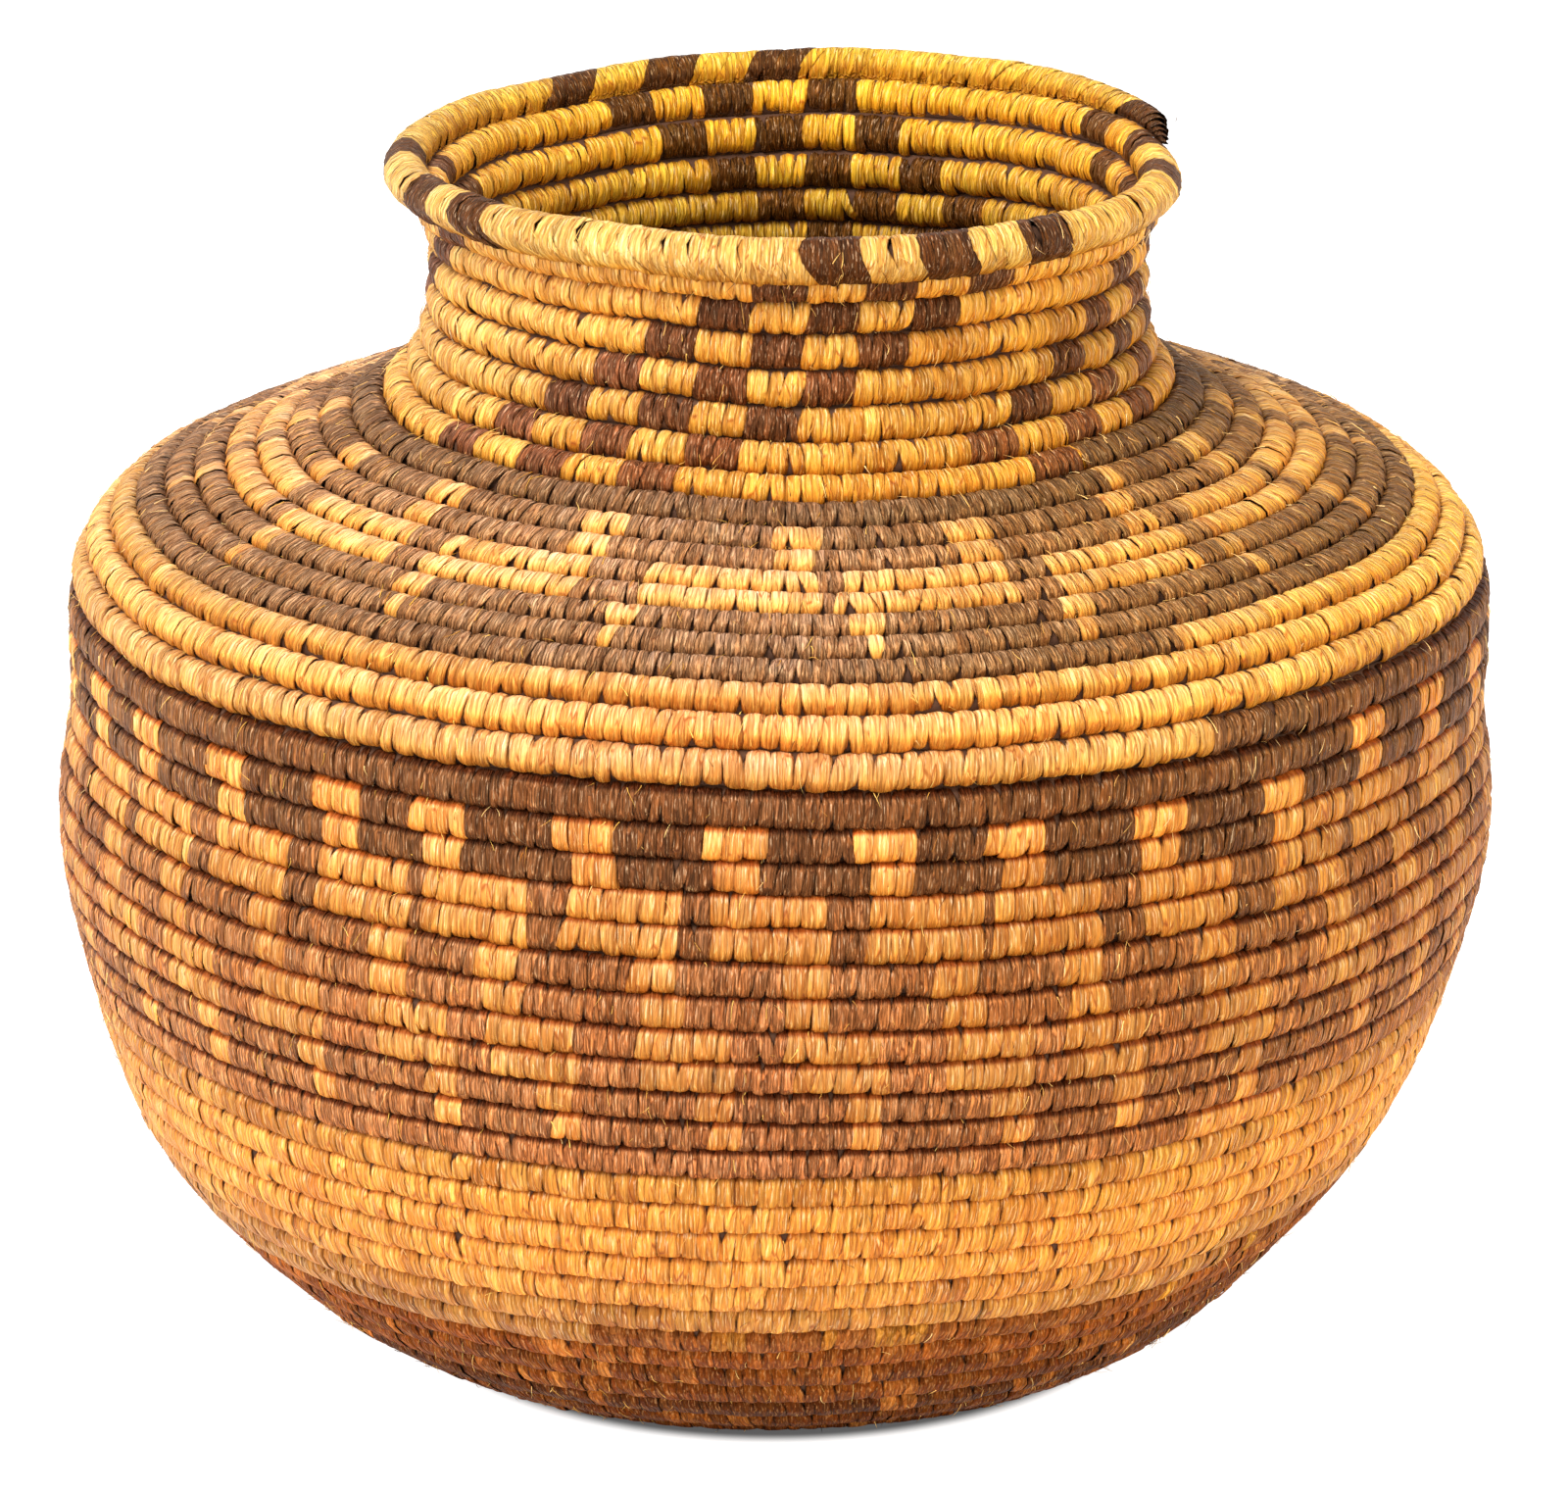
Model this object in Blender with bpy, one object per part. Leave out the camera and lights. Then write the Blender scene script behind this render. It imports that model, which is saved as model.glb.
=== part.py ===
# Coiled basketry olla: a round, wide-shouldered basket jar with a short neck.
#
# A real one is a single long bundle of plant fibre, wrapped and sewn turn upon turn with flat splints.
# It starts as a knot at the middle of the base, winds out flat, then climbs the wall up to the rim.
# Here each full turn of that coil, called a course, is one solid, from one side of the step line to the
# other: the step line is where every course rises onto the one below, to the right of the front.
# Metres and degrees. +Z is up, -Y is the front, and the origin is under the belly's middle, on the floor.

from math import atan2, cos, floor, hypot, pi, radians, sin, tau

import bpy
from mathutils import Vector

# Coil
SIDES = 6                      # sides of the coil's cross-section
POINTS_PER_TURN = 24
PATH_STEPS_PER_TURN = 48       # finer steps that the wall's path is laid out in
COIL_THICKNESS = 0.0072        # usual thickness of the wrapped coil: each band has its own share of it
COURSE_GAP = 0.00035           # clearance between neighbouring courses
END_GAP = 0.0003               # clearance where one course ends and the next begins
STEP_LINE = 45.0               # azimuth of the step line, from the front towards the right

# Flat base
BASE_RADIUS = 0.0820           # where the coil leaves the flat base, at the coil's middle
BASE_THICKNESS_SHARE = 1.117   # the flat base's coil is a little thicker than usual
START_KNOT_LEAST_RADIUS = 0.004

# Number of courses in each band, from the base up
FOOT_COURSES = 6
LOWER_COURSES = 7
BELLY_COURSES = 12
PALE_BAND_COURSES = 3
SHOULDER_COURSES = 8
NECK_COURSES = 7
RIM_COURSES = 1                # a whole turn of the wall's path, though the coil ends inside it

# Coil's thickness at the bottom of each band, as a share of the usual thickness
FOOT_SHARE = 1.127
LOWER_SHARE = 1.059
BELLY_SHARE = 0.879
PALE_BAND_SHARE = 0.964
SHOULDER_SHARE = 0.880
NECK_SHARE = 1.015
RIM_SHARE = 1.014

# The coil's end: the rim thins out and sinks onto the course below, a little before a whole turn
RIM_TURNS = 0.85
RIM_TAPER_TURNS = 0.2
RIM_TIP_SHARE = 0.35           # thickness of the tip, as a share of the rim's

# Climb of the wall, in degrees from level and outward: 90 is upright, more than 90 leans inward.
# The first is where the wall leaves the base. The others are spread evenly up each band, to its top.
BASE_EDGE_CLIMB = 27.0
FOOT_CLIMB = (45.0, 48.0)
LOWER_CLIMB = (66.0, 76.0)
BELLY_CLIMB = (78.0, 90.0, 101.0, 86.0, 96.0)
PALE_BAND_CLIMB = (130.0, 153.0)
SHOULDER_CLIMB = (160.0, 160.0, 146.0)
NECK_CLIMB = (101.0, 89.0, 44.0)
RIM_CLIMB = (44.0,)

# The neck of a hand-built olla sits a little to the right of its base
LEAN = 0.026                   # sideways shift for each metre of height
LEAN_FREE_HEIGHT = 0.109       # height of the belly's widest course, which isn't shifted

# Colours of the splints
TAN = (0.62, 0.34, 0.09)
ORANGE_TAN = (0.55, 0.26, 0.06)
DARK = (0.12, 0.045, 0.022)
UMBER = (0.20, 0.075, 0.025)
SPLINT_ROUGHNESS = 0.72

BANDS = (
    ("foot_course", FOOT_COURSES, FOOT_SHARE, FOOT_CLIMB, UMBER),
    ("lower_course", LOWER_COURSES, LOWER_SHARE, LOWER_CLIMB, ORANGE_TAN),
    ("belly_course", BELLY_COURSES, BELLY_SHARE, BELLY_CLIMB, DARK),
    ("pale_band_course", PALE_BAND_COURSES, PALE_BAND_SHARE, PALE_BAND_CLIMB, TAN),
    ("shoulder_course", SHOULDER_COURSES, SHOULDER_SHARE, SHOULDER_CLIMB, DARK),
    ("neck_course", NECK_COURSES, NECK_SHARE, NECK_CLIMB, TAN),
    ("rim_course", RIM_COURSES, RIM_SHARE, RIM_CLIMB, TAN),
)

HALF_FLAT_ANGLE = pi / SIDES   # from the middle of a flat to its corner
SUBSTEPS = PATH_STEPS_PER_TURN // POINTS_PER_TURN
BASE_PITCH = COIL_THICKNESS * BASE_THICKNESS_SHARE


def keyed(keys, turn):
    """Value at a turn, on straight runs between (turn, value) keys and constant past both ends."""
    if turn <= keys[0][0]:
        return keys[0][1]
    for (low, low_value), (high, high_value) in zip(keys, keys[1:]):
        if turn <= high:
            return low_value + (high_value - low_value) * (turn - low) / (high - low)
    return keys[-1][1]


def band_keys():
    """Keys of the coil's pitch and of the wall's climb, by turns above the flat base."""
    pitch_keys = []
    climb_keys = [(0.0, BASE_EDGE_CLIMB)]
    start = 0
    for _, courses, share, climbs, _ in BANDS:
        pitch_keys.append((start, COIL_THICKNESS * share))
        for number, climb in enumerate(climbs, 1):
            climb_keys.append((start + courses * number / len(climbs), climb))
        start += courses
    return pitch_keys, climb_keys


def side_turns():
    """Turns of the coil from the flat base to the rim's top."""
    return sum(courses for _, courses, _, _, _ in BANDS)


def base_turns():
    """Whole turns that fit in the flat base round the start knot."""
    return floor((BASE_RADIUS - BASE_PITCH / 2 - START_KNOT_LEAST_RADIUS) / BASE_PITCH)


def wall_path():
    """The coil's middle as (radius, height, climb) for each substep, from the flat base to past the rim.

    The flat base's turns are level. From its edge each substep moves along the wall by its share of
    the coil's pitch, so that a whole turn ends one pitch further along the wall.
    """
    pitch_keys, climb_keys = band_keys()
    steps = PATH_STEPS_PER_TURN
    flat_steps = base_turns() * steps
    path = []
    for step in range(flat_steps):
        radius = BASE_RADIUS - BASE_PITCH * (flat_steps - step) / steps
        path.append((radius, base_height(), 0.0))
    radius = BASE_RADIUS
    height = base_height()
    for step in range(side_turns() * steps + steps + 1):
        turn = (step + 0.5) / steps
        climb = radians(keyed(climb_keys, turn))
        path.append((radius, height, radians(keyed(climb_keys, step / steps))))
        length = keyed(pitch_keys, turn) / steps
        radius += length * cos(climb)
        height += length * sin(climb)
    return path


def base_coil_radius():
    """Radius of the flat base's coil, whose corners face its neighbours."""
    return (BASE_PITCH - COURSE_GAP - END_GAP) / 2


def base_height():
    """Height of the flat base's coil, which lies on its flats."""
    return base_coil_radius() * cos(HALF_FLAT_ANGLE)


def reach(turned):
    """How far a six-sided section of radius 1 reaches in a direction turned this far from a flat."""
    off_flat = abs(turned) % (2 * HALF_FLAT_ANGLE)
    off_flat = min(off_flat, 2 * HALF_FLAT_ANGLE - off_flat)
    return cos(HALF_FLAT_ANGLE - off_flat)


def section_radius(path, index):
    """Largest section that keeps the course's gap to the turns below and above, in the wall's plane."""
    radius, height, climb = path[index]
    steps = PATH_STEPS_PER_TURN
    best = None
    for other in (index - steps, index + steps):
        if 0 <= other < len(path):
            along = path[other][0] - radius
            up = path[other][1] - height
            turned = atan2(up, along) - climb
            fits = (hypot(along, up) - COURSE_GAP) / 2 / reach(turned)
            best = fits if best is None else min(best, fits)
    return best


def place(radius, height, turn):
    """Point of the coil's middle at a turn: the coil climbs clockwise, seen from above."""
    azimuth = radians(STEP_LINE) - tau * turn
    shift = LEAN * (height - LEAN_FREE_HEIGHT)
    return (radius * sin(azimuth) + shift, -radius * cos(azimuth), height)


def coil_point(path, step, flat):
    """Point, section radius and tilt of the coil in the middle of a step, counted from the start knot."""
    index = step * SUBSTEPS + SUBSTEPS // 2
    radius, height, climb = path[index]
    turn = index / PATH_STEPS_PER_TURN
    section = base_coil_radius() if flat else section_radius(path, index)
    tilt = 0.0 if flat else climb - pi / 2
    return (Vector(place(radius, height, turn)), section, tilt)


def end_point(inner, outer):
    """End of a stretch: half way to the next stretch's point, less half the end gap."""
    run = outer[0] - inner[0]
    share = 0.5 - END_GAP / 2 / run.length
    return (inner[0] + run * share, inner[1], inner[2])


def coil_points(path, first_turn, last_turn, flat):
    """Points, section radii and tilts of a stretch of the coil between two turns."""
    first = first_turn * POINTS_PER_TURN
    last = last_turn * POINTS_PER_TURN
    points = [coil_point(path, step, flat) for step in range(first, last)]
    if first > 0:
        points.insert(0, end_point(points[0], coil_point(path, first - 1, flat)))
    points.append(end_point(points[-1], coil_point(path, last, flat)))
    return points


def splint_material(name, colour):
    material = bpy.data.materials.new(name)
    material.use_nodes = True
    shader = material.node_tree.nodes["Principled BSDF"]
    shader.inputs["Base Color"].default_value = (*colour, 1.0)
    shader.inputs["Roughness"].default_value = SPLINT_ROUGHNESS
    shader.inputs["Metallic"].default_value = 0.0
    return material


def add_coil(collection, name, points, colour):
    """One stretch of the coil: a six-sided tube with filled ends along the points."""
    curve = bpy.data.curves.new(name, "CURVE")
    curve.dimensions = "3D"
    curve.twist_mode = "Z_UP"
    curve.bevel_depth = 1.0    # each point's radius is then the section's, in metres
    curve.bevel_resolution = SIDES // 2 - 2
    curve.use_fill_caps = True
    spline = curve.splines.new("POLY")
    spline.points.add(len(points) - 1)
    for point, (position, section, tilt) in zip(spline.points, points):
        point.co = (*position, 1.0)
        point.radius = section
        point.tilt = tilt
    curve.materials.append(splint_material(name + "_splint", colour))
    coil = bpy.data.objects.new(name, curve)
    collection.objects.link(coil)
    return coil


def add_start_knot(collection, path):
    """The start knot: a flat plug whose outline follows the inner side of the first turn round it."""
    curve = bpy.data.curves.new("start_knot", "CURVE")
    curve.dimensions = "2D"
    curve.fill_mode = "BOTH"
    curve.extrude = base_height()
    spline = curve.splines.new("POLY")
    spline.points.add(POINTS_PER_TURN - 1)
    spline.use_cyclic_u = True
    for step, point in enumerate(spline.points):
        index = step * SUBSTEPS + SUBSTEPS // 2
        radius = path[index][0] - base_coil_radius() - COURSE_GAP
        x, y, _ = place(radius, base_height(), index / PATH_STEPS_PER_TURN)
        point.co = (x, y, 0.0, 1.0)
    curve.materials.append(splint_material("start_knot_splint", UMBER))
    knot = bpy.data.objects.new("start_knot", curve)
    knot.location.z = base_height()
    collection.objects.link(knot)


def taper_end(points, taper_turns, tip_share):
    """Thin the end of a stretch, and sink it onto the course below as it thins."""
    tapered = round(taper_turns * POINTS_PER_TURN)
    first = len(points) - tapered
    result = points[:first]
    for number in range(first, len(points)):
        position, section, tilt = points[number]
        share = 1 - (1 - tip_share) * (number - first + 1) / tapered
        azimuth = atan2(position.y, position.x)
        climb = tilt + pi / 2
        wall = Vector((cos(azimuth) * cos(climb), sin(azimuth) * cos(climb), sin(climb)))
        sunk = position - wall * (section * (1 - share) * cos(HALF_FLAT_ANGLE))
        result.append((sunk, section * share, tilt))
    return result


def least_gap(points):
    """Least gap between neighbouring turns of one stretch, on its points."""
    gaps = []
    for number in range(len(points) - POINTS_PER_TURN):
        here, section, _ = points[number]
        there, other_section, _ = points[number + POINTS_PER_TURN]
        gaps.append((here - there).length - section - other_section)
    return min(gaps)


def build():
    for leftover in list(bpy.data.objects):
        bpy.data.objects.remove(leftover, do_unlink=True)
    collection = bpy.data.collections.new("basketry_olla")
    bpy.context.scene.collection.children.link(collection)

    path = wall_path()
    flat_turns = base_turns()
    add_start_knot(collection, path)
    flat_points = coil_points(path, 0, flat_turns, True)
    print("base coil's least gap to itself, mm:", round(least_gap(flat_points) * 1000, 3))
    add_coil(collection, "base_coil", flat_points, UMBER)

    turn = flat_turns
    for band, courses, _, _, colour in BANDS:
        for number in range(1, courses + 1):
            name = band if courses == 1 else f"{band}_{number}"
            points = coil_points(path, turn, turn + 1, False)
            turn += 1
            if turn == flat_turns + side_turns():
                kept = round(RIM_TURNS * POINTS_PER_TURN)
                points = taper_end(points[:kept], RIM_TAPER_TURNS, RIM_TIP_SHARE)
            add_coil(collection, name, points, colour)


build()
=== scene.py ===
import bpy
import numpy as np
from mathutils import Matrix, Vector


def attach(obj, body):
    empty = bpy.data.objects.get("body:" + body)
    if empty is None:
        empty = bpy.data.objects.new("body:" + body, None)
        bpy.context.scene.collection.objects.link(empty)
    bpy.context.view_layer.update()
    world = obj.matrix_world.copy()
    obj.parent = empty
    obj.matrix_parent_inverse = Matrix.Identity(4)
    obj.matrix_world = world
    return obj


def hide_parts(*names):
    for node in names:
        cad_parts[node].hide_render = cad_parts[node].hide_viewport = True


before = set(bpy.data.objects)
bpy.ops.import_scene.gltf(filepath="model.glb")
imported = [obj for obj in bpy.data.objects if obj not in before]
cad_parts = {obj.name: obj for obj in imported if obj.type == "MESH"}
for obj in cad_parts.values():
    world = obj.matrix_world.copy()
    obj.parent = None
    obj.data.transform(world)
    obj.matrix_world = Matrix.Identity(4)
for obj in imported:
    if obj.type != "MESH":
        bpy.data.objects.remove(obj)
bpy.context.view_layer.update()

# A coiled basketry olla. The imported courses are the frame, one for each full turn of the coil.
# Here each course gets its wrapped and sewn splint stitches, one closed strip for each stitch,
# round a foundation bundle, with the woven-in pattern, the overcast rim and the worn base.
# Metres and degrees. +Z is up, -Y is the front, azimuth runs from the front towards the right.

chance = np.random.default_rng(1893)
fullTurn = 2 * np.pi

# the coil's route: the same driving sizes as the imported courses
coil = {
    "usualThickness": 0.0072,
    "stepLine": 45.0,              # azimuth where one course ends and the next begins
    "baseRadius": 0.0820,
    "baseShare": 1.117,            # the flat base's thickness, as a share of the usual one
    "baseTurns": 9,
    "baseStitches": 699,
    "baseHeight": 0.0032,
    "leastHeight": 0.0003,         # nothing lies lower than this over the floor
    "baseEdgeClimb": 27.0,
    "lean": 0.026,
    "leanFreeHeight": 0.109,
    "stepsPerTurn": 48,
}

# bands of courses from the base up: how many, thickness share at the bottom, climb of the wall
bands = {
    "foot_course": (6, 1.127, (45.0, 48.0)),
    "lower_course": (7, 1.059, (66.0, 76.0)),
    "belly_course": (12, 0.879, (78.0, 90.0, 101.0, 86.0, 96.0)),
    "pale_band_course": (3, 0.964, (130.0, 153.0)),
    "shoulder_course": (8, 0.880, (160.0, 160.0, 146.0)),
    "neck_course": (7, 1.015, (101.0, 89.0, 44.0)),
    "rim_course": (1, 1.014, (44.0,)),
}
sideTurns = sum(band[0] for band in bands.values())


def linearColour(red, green, blue):
    # a colour as painters' 0 to 255 values, turned into the linear values that a shader reads
    value = np.array((red, green, blue)) / 255.0
    return np.where(value <= 0.04045, value / 12.92, ((value + 0.055) / 1.055) ** 2.4)


# the coil's middle line

def layOutCoil():
    # from the flat base's edge, each small step moves along the wall's climb by its share of the
    # coil's thickness, so that one whole turn ends one thickness further up the wall
    thicknessKeys, climbKeys, start = [], [(0.0, coil["baseEdgeClimb"])], 0
    for courses, share, climbs in bands.values():
        thicknessKeys.append((start, coil["usualThickness"] * share))
        climbKeys += [(start + courses * (i + 1) / len(climbs), c) for i, c in enumerate(climbs)]
        start += courses
    steps = coil["stepsPerTurn"]
    turn = np.arange(start * steps + steps + 1) / steps
    middle = turn + 0.5 / steps
    length = np.interp(middle, *np.array(thicknessKeys).T) / steps
    climb = np.radians(np.interp(middle, *np.array(climbKeys).T))
    radius = coil["baseRadius"] + np.concatenate(([0], np.cumsum(length * np.cos(climb))[:-1]))
    height = coil["baseHeight"] + np.concatenate(([0], np.cumsum(length * np.sin(climb))[:-1]))
    return {
        "turn": turn,
        "radius": radius,
        "height": height,
        "climb": np.radians(np.interp(turn, *np.array(climbKeys).T)),
        "thickness": np.interp(turn, *np.array(thicknessKeys).T),
    }


route = layOutCoil()


def coilAt(turn):
    # radius, height, climb and thickness of the coil at a turn: negative turns lie in the flat base,
    # where the radius falls by one thickness a turn
    onWall = np.maximum(turn, 0.0)
    flat = turn < 0
    baseThickness = coil["usualThickness"] * coil["baseShare"]
    radius = np.interp(onWall, route["turn"], route["radius"]) + np.minimum(turn, 0) * baseThickness
    height = np.interp(onWall, route["turn"], route["height"])
    climb = np.where(flat, 0.0, np.interp(onWall, route["turn"], route["climb"]))
    thickness = np.where(flat, baseThickness, np.interp(onWall, route["turn"], route["thickness"]))
    return radius, height, climb, thickness


# a basket made by hand isn't quite round or level: slow waves in millimetres, and a dent in the rim
handMade = {
    "waves": ((0.20, 2, 9.0, 3.84), (0.15, 3, -14.0, 5.24), (0.15, 5, 22.0, 4.0), (0.18, 9, 55.0, 1.2)),
    "lift": ((0.45, 2, 6.0, 1.9), (0.30, 5, 17.0, 0.3), (0.16, 11, 40.0, 3.3)),
    "rimDent": (0.7, 104.0, 24.0, 0.232, 0.243),   # depth, azimuth, reach either way, from and to height
    "rimSag": (0.9, 262.0, 0.215, 0.245),          # drop of the rim's far left, azimuth, heights
    "backDrop": (1.1, 178.0, 50.0, 0.220, 0.014),  # of the neck's back: azimuth, reach, height, reach
    "leftRise": (1.1, -62.0, 42.0, 0.085, 0.040),  # rise of the belly's left, likewise
    "levelBelow": 0.03,
    "footBulge": (0.6, 0.012, 0.020),              # how far, and middle and reach of its heights
    "footShift": (2.3, 0.036),                     # to the right at the base, fading out at a height
    "lowShift": (-1.0, 0.035, 0.022),              # to the left, at a height, and its reach
}


def degreesFrom(azimuth, middle):
    return (np.degrees(azimuth) - middle + 180) % 360 - 180


def ramp(value, low, high):
    # 0 up to low, 1 from high on, and evenly between them
    return np.clip((value - low) / (high - low), 0, 1)


def handMadeShift(azimuth, height):
    # sums of sines, each an amplitude, whole waves round the basket, slope with height and start
    out = sum(a * np.sin(k * azimuth + m * height + p) for a, k, m, p in handMade["waves"])
    up = sum(a * np.sin(k * azimuth + m * height + p) for a, k, m, p in handMade["lift"])
    depth, middle, reach, low, high = handMade["rimDent"]
    away = degreesFrom(azimuth, middle) / reach
    out -= depth * np.exp(-(away ** 2)) * ramp(height, low, high)
    drop, middle, low, high = handMade["rimSag"]
    towards = np.clip(np.cos(azimuth - np.radians(middle)), 0, 1)
    up -= drop * towards * ramp(height, low, high)
    for key, sign in (("backDrop", -1), ("leftRise", 1)):
        most, middle, reach, level, levelReach = handMade[key]
        away = degreesFrom(azimuth, middle) / reach
        up += sign * most * np.exp(-away ** 2 - ((height - level) / levelReach) ** 2)
    calm = np.clip(height / handMade["levelBelow"], 0, 1)
    bulge, middle, reach = handMade["footBulge"]
    out = out * calm + bulge * np.exp(-(((height - middle) / reach) ** 2))
    return out / 1000, up * calm / 1000


def onBasket(turn, outward, upward):
    # a point beside the coil's middle line: outward from the wall and upward along it
    radius, height, climb, _ = coilAt(turn)
    azimuth = np.radians(coil["stepLine"]) - fullTurn * turn
    radius = radius + outward * np.sin(climb) + upward * np.cos(climb)
    height = height - outward * np.cos(climb) + upward * np.sin(climb)
    out, up = handMadeShift(azimuth, height)
    radius, height = radius + out, np.maximum(height + up, coil["leastHeight"])
    footShift, fades = handMade["footShift"]
    shift = coil["lean"] * (height - coil["leanFreeHeight"])
    shift += footShift / 1000 * np.clip(1 - height / fades, 0, 1) ** 2
    lowShift, level, levelReach = handMade["lowShift"]
    shift += lowShift / 1000 * np.exp(-(((height - level) / levelReach) ** 2))
    return np.stack((radius * np.sin(azimuth) + shift, -radius * np.cos(azimuth), height), axis=-1)


# meshes from grids

def closedStrips(rings):
    # faces of many closed tubes at once: rings has the shape (pieces, round, across), each tube runs
    # round and closes on itself both ways
    b = np.roll(rings, -1, axis=1)
    return np.stack((rings, b, np.roll(b, -1, axis=2), np.roll(rings, -1, axis=2)), axis=-1).reshape(-1, 4)


def cornersOf(index):
    # the four corners of the faces between each row of points and the next, closed round the columns
    lower, upper = index[..., :-1, :], index[..., 1:, :]
    return lower, np.roll(lower, -1, axis=-1), np.roll(upper, -1, axis=-1), upper


def makeMesh(name, points, faces, material, uvs=None, tint=None):
    mesh = bpy.data.meshes.new(name)
    faces = np.asarray(faces)
    mesh.vertices.add(len(points))
    mesh.vertices.foreach_set("co", np.asarray(points, dtype=np.float32).ravel())
    mesh.loops.add(faces.size)
    mesh.loops.foreach_set("vertex_index", faces.ravel().astype(np.int32))
    mesh.polygons.add(len(faces))
    mesh.polygons.foreach_set("loop_start", (np.arange(len(faces)) * faces.shape[1]).astype(np.int32))
    mesh.update(calc_edges=True)
    mesh.shade_smooth()
    for layerName, values in (uvs or {}).items():
        layer = mesh.uv_layers.new(name=layerName)
        layer.uv.foreach_set("vector", np.asarray(values, dtype=np.float32)[faces.ravel()].ravel())
    if tint is not None:
        layer = mesh.color_attributes.new("splintTint", "FLOAT_COLOR", "POINT")
        layer.data.foreach_set("color", np.asarray(tint, dtype=np.float32).ravel())
    mesh.materials.append(material)
    mesh.validate()
    piece = bpy.data.objects.new(name, mesh)
    bpy.context.scene.collection.objects.link(piece)
    return piece


def addToBasket(piece, slot, *nodes):
    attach(piece, "root")
    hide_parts(*nodes)


# materials

def fill(tree, made, inputs):
    # gives each input its value, or a link where the value is another node's output
    for key, value in inputs.items():
        if isinstance(value, bpy.types.NodeSocket):
            tree.links.new(value, made.inputs[key])
        else:
            made.inputs[key].default_value = value


def node(tree, kind, inputs=None, **settings):
    # a new shader node, laid out in rows of twelve so that the tree can be read
    made = tree.nodes.new("ShaderNode" + kind)
    row, column = divmod(len(tree.nodes), 12)
    made.location = (220 * column, -300 * row)
    for key, value in settings.items():
        setattr(made, key, value)
    fill(tree, made, inputs or {})
    return made


def mixColours(tree, share, first, second, blend="MIX"):
    # from the first colour to the second by a share. A colour is three values or a link
    colours = [(*colour, 1) if isinstance(colour, tuple) else colour for colour in (first, second)]
    inputs = {0: share, 6: colours[0], 7: colours[1]}
    return node(tree, "Mix", inputs, data_type="RGBA", blend_type=blend).outputs[2]


def newMaterial(name):
    made = bpy.data.materials.new(name)
    made.use_nodes = True
    return made, made.node_tree, made.node_tree.nodes["Principled BSDF"]


# looks of the three kinds of splint, a value for each
splintNames = ("tan_splint", "dark_splint", "umber_splint")
splintLooks = {
    "strandsPerMm": (1.0, 1.6, 1.1),
    "fibresPerMm": (2.9, 3.1, 2.6),
    "alongPerMm": (0.13, 0.26, 0.26),
    "fibreAlongPerMm": (0.30, 0.45, 0.50),
    "wanderMm": (0.8, 1.1, 1.2),
    "strandTones": ((0.66, 1.30), (0.52, 1.52), (0.54, 1.48)),
    "strandHue": (0.07, 0.09, 0.10),
    # the dark strand lines, painted shade in the grooves between strands: how dark and how wide
    "strandLine": (0.20, 0.16, 0.35),
    "lineReach": (0.10, 0.14, 0.11),
    "toneBend": ((0.7, 1.0, 1.4), (0.9, 1.0, 1.12), (0.8, 1.0, 1.25)),
    "fibreTones": ((0.70, 1.27), (0.55, 1.46), (0.58, 1.44)),
    # pale flecks, partly pale fibres and partly painted glints
    "fleck": ((1.0, 0.78, 0.42), (0.80, 0.54, 0.30), (0.66, 0.34, 0.12)),
    "fleckShare": (0.40, 0.50, 0.45),
    "fleckFrom": (0.59, 0.61, 0.59),
    # painted shade at a stitch's edges, in the crease above it and on its lower side, and its colour
    "edgeShade": (0.06, 0.12, 0.25),
    "creaseShade": (0.08, 0.05, 0.30),
    "lipShade": (0.48, 0.42, 0.7),
    "shadowTint": ((0.40, 0.15, 0.02), (0.22, 0.09, 0.03), (0.26, 0.11, 0.04)),
    "domeMm": (0.30, 0.26, 0.14),
    "bumpMm": (0.42, 0.45, 0.38),
    "roughness": (0.50, 0.52, 0.66),
    "sheen": (0.27, 0.25, 0.18),
    "sheenTint": ((1.0, 0.74, 0.42), (1.0, 0.62, 0.32), (1.0, 0.50, 0.14)),
    # painted shade on a stitch's lower side and painted light on its top
    "paintedShadeTint": ((1.0, 0.87, 0.42), (1.0, 0.92, 0.74), (1.0, 0.90, 0.62)),
    "paintedLightTint": ((1.0, 1.04, 1.34), (1.0, 1.02, 1.12), (1.0, 1.0, 1.08)),
}
# looks that all splints share. Ranges run from and to, and then over which values
shared = {
    "slowGrain": (0.16, 0.35, 0), "linesFade": (0.42, 0.58, 0, 0.85), "fibreRange": (0.33, 0.67),
    # edge, crease and lip place the painted shade; orangeToCream places the painted light and shade from a
    # stitch's lower side to its top
    "fleckReach": 0.07, "ragged": 0.22, "edge": (0.93, 1.10), "crease": (0.60, 1.0),
    "lip": (-1.0, -0.30), "stained": (0.3, 0.7, 0.80, 1.14), "blueLean": 1.6,
    "orangeToCream": (-0.9, 0.5), "fibreRelief": 0.6, "strandRound": 0.34, "strandHeights": 0.35,
}


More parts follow.
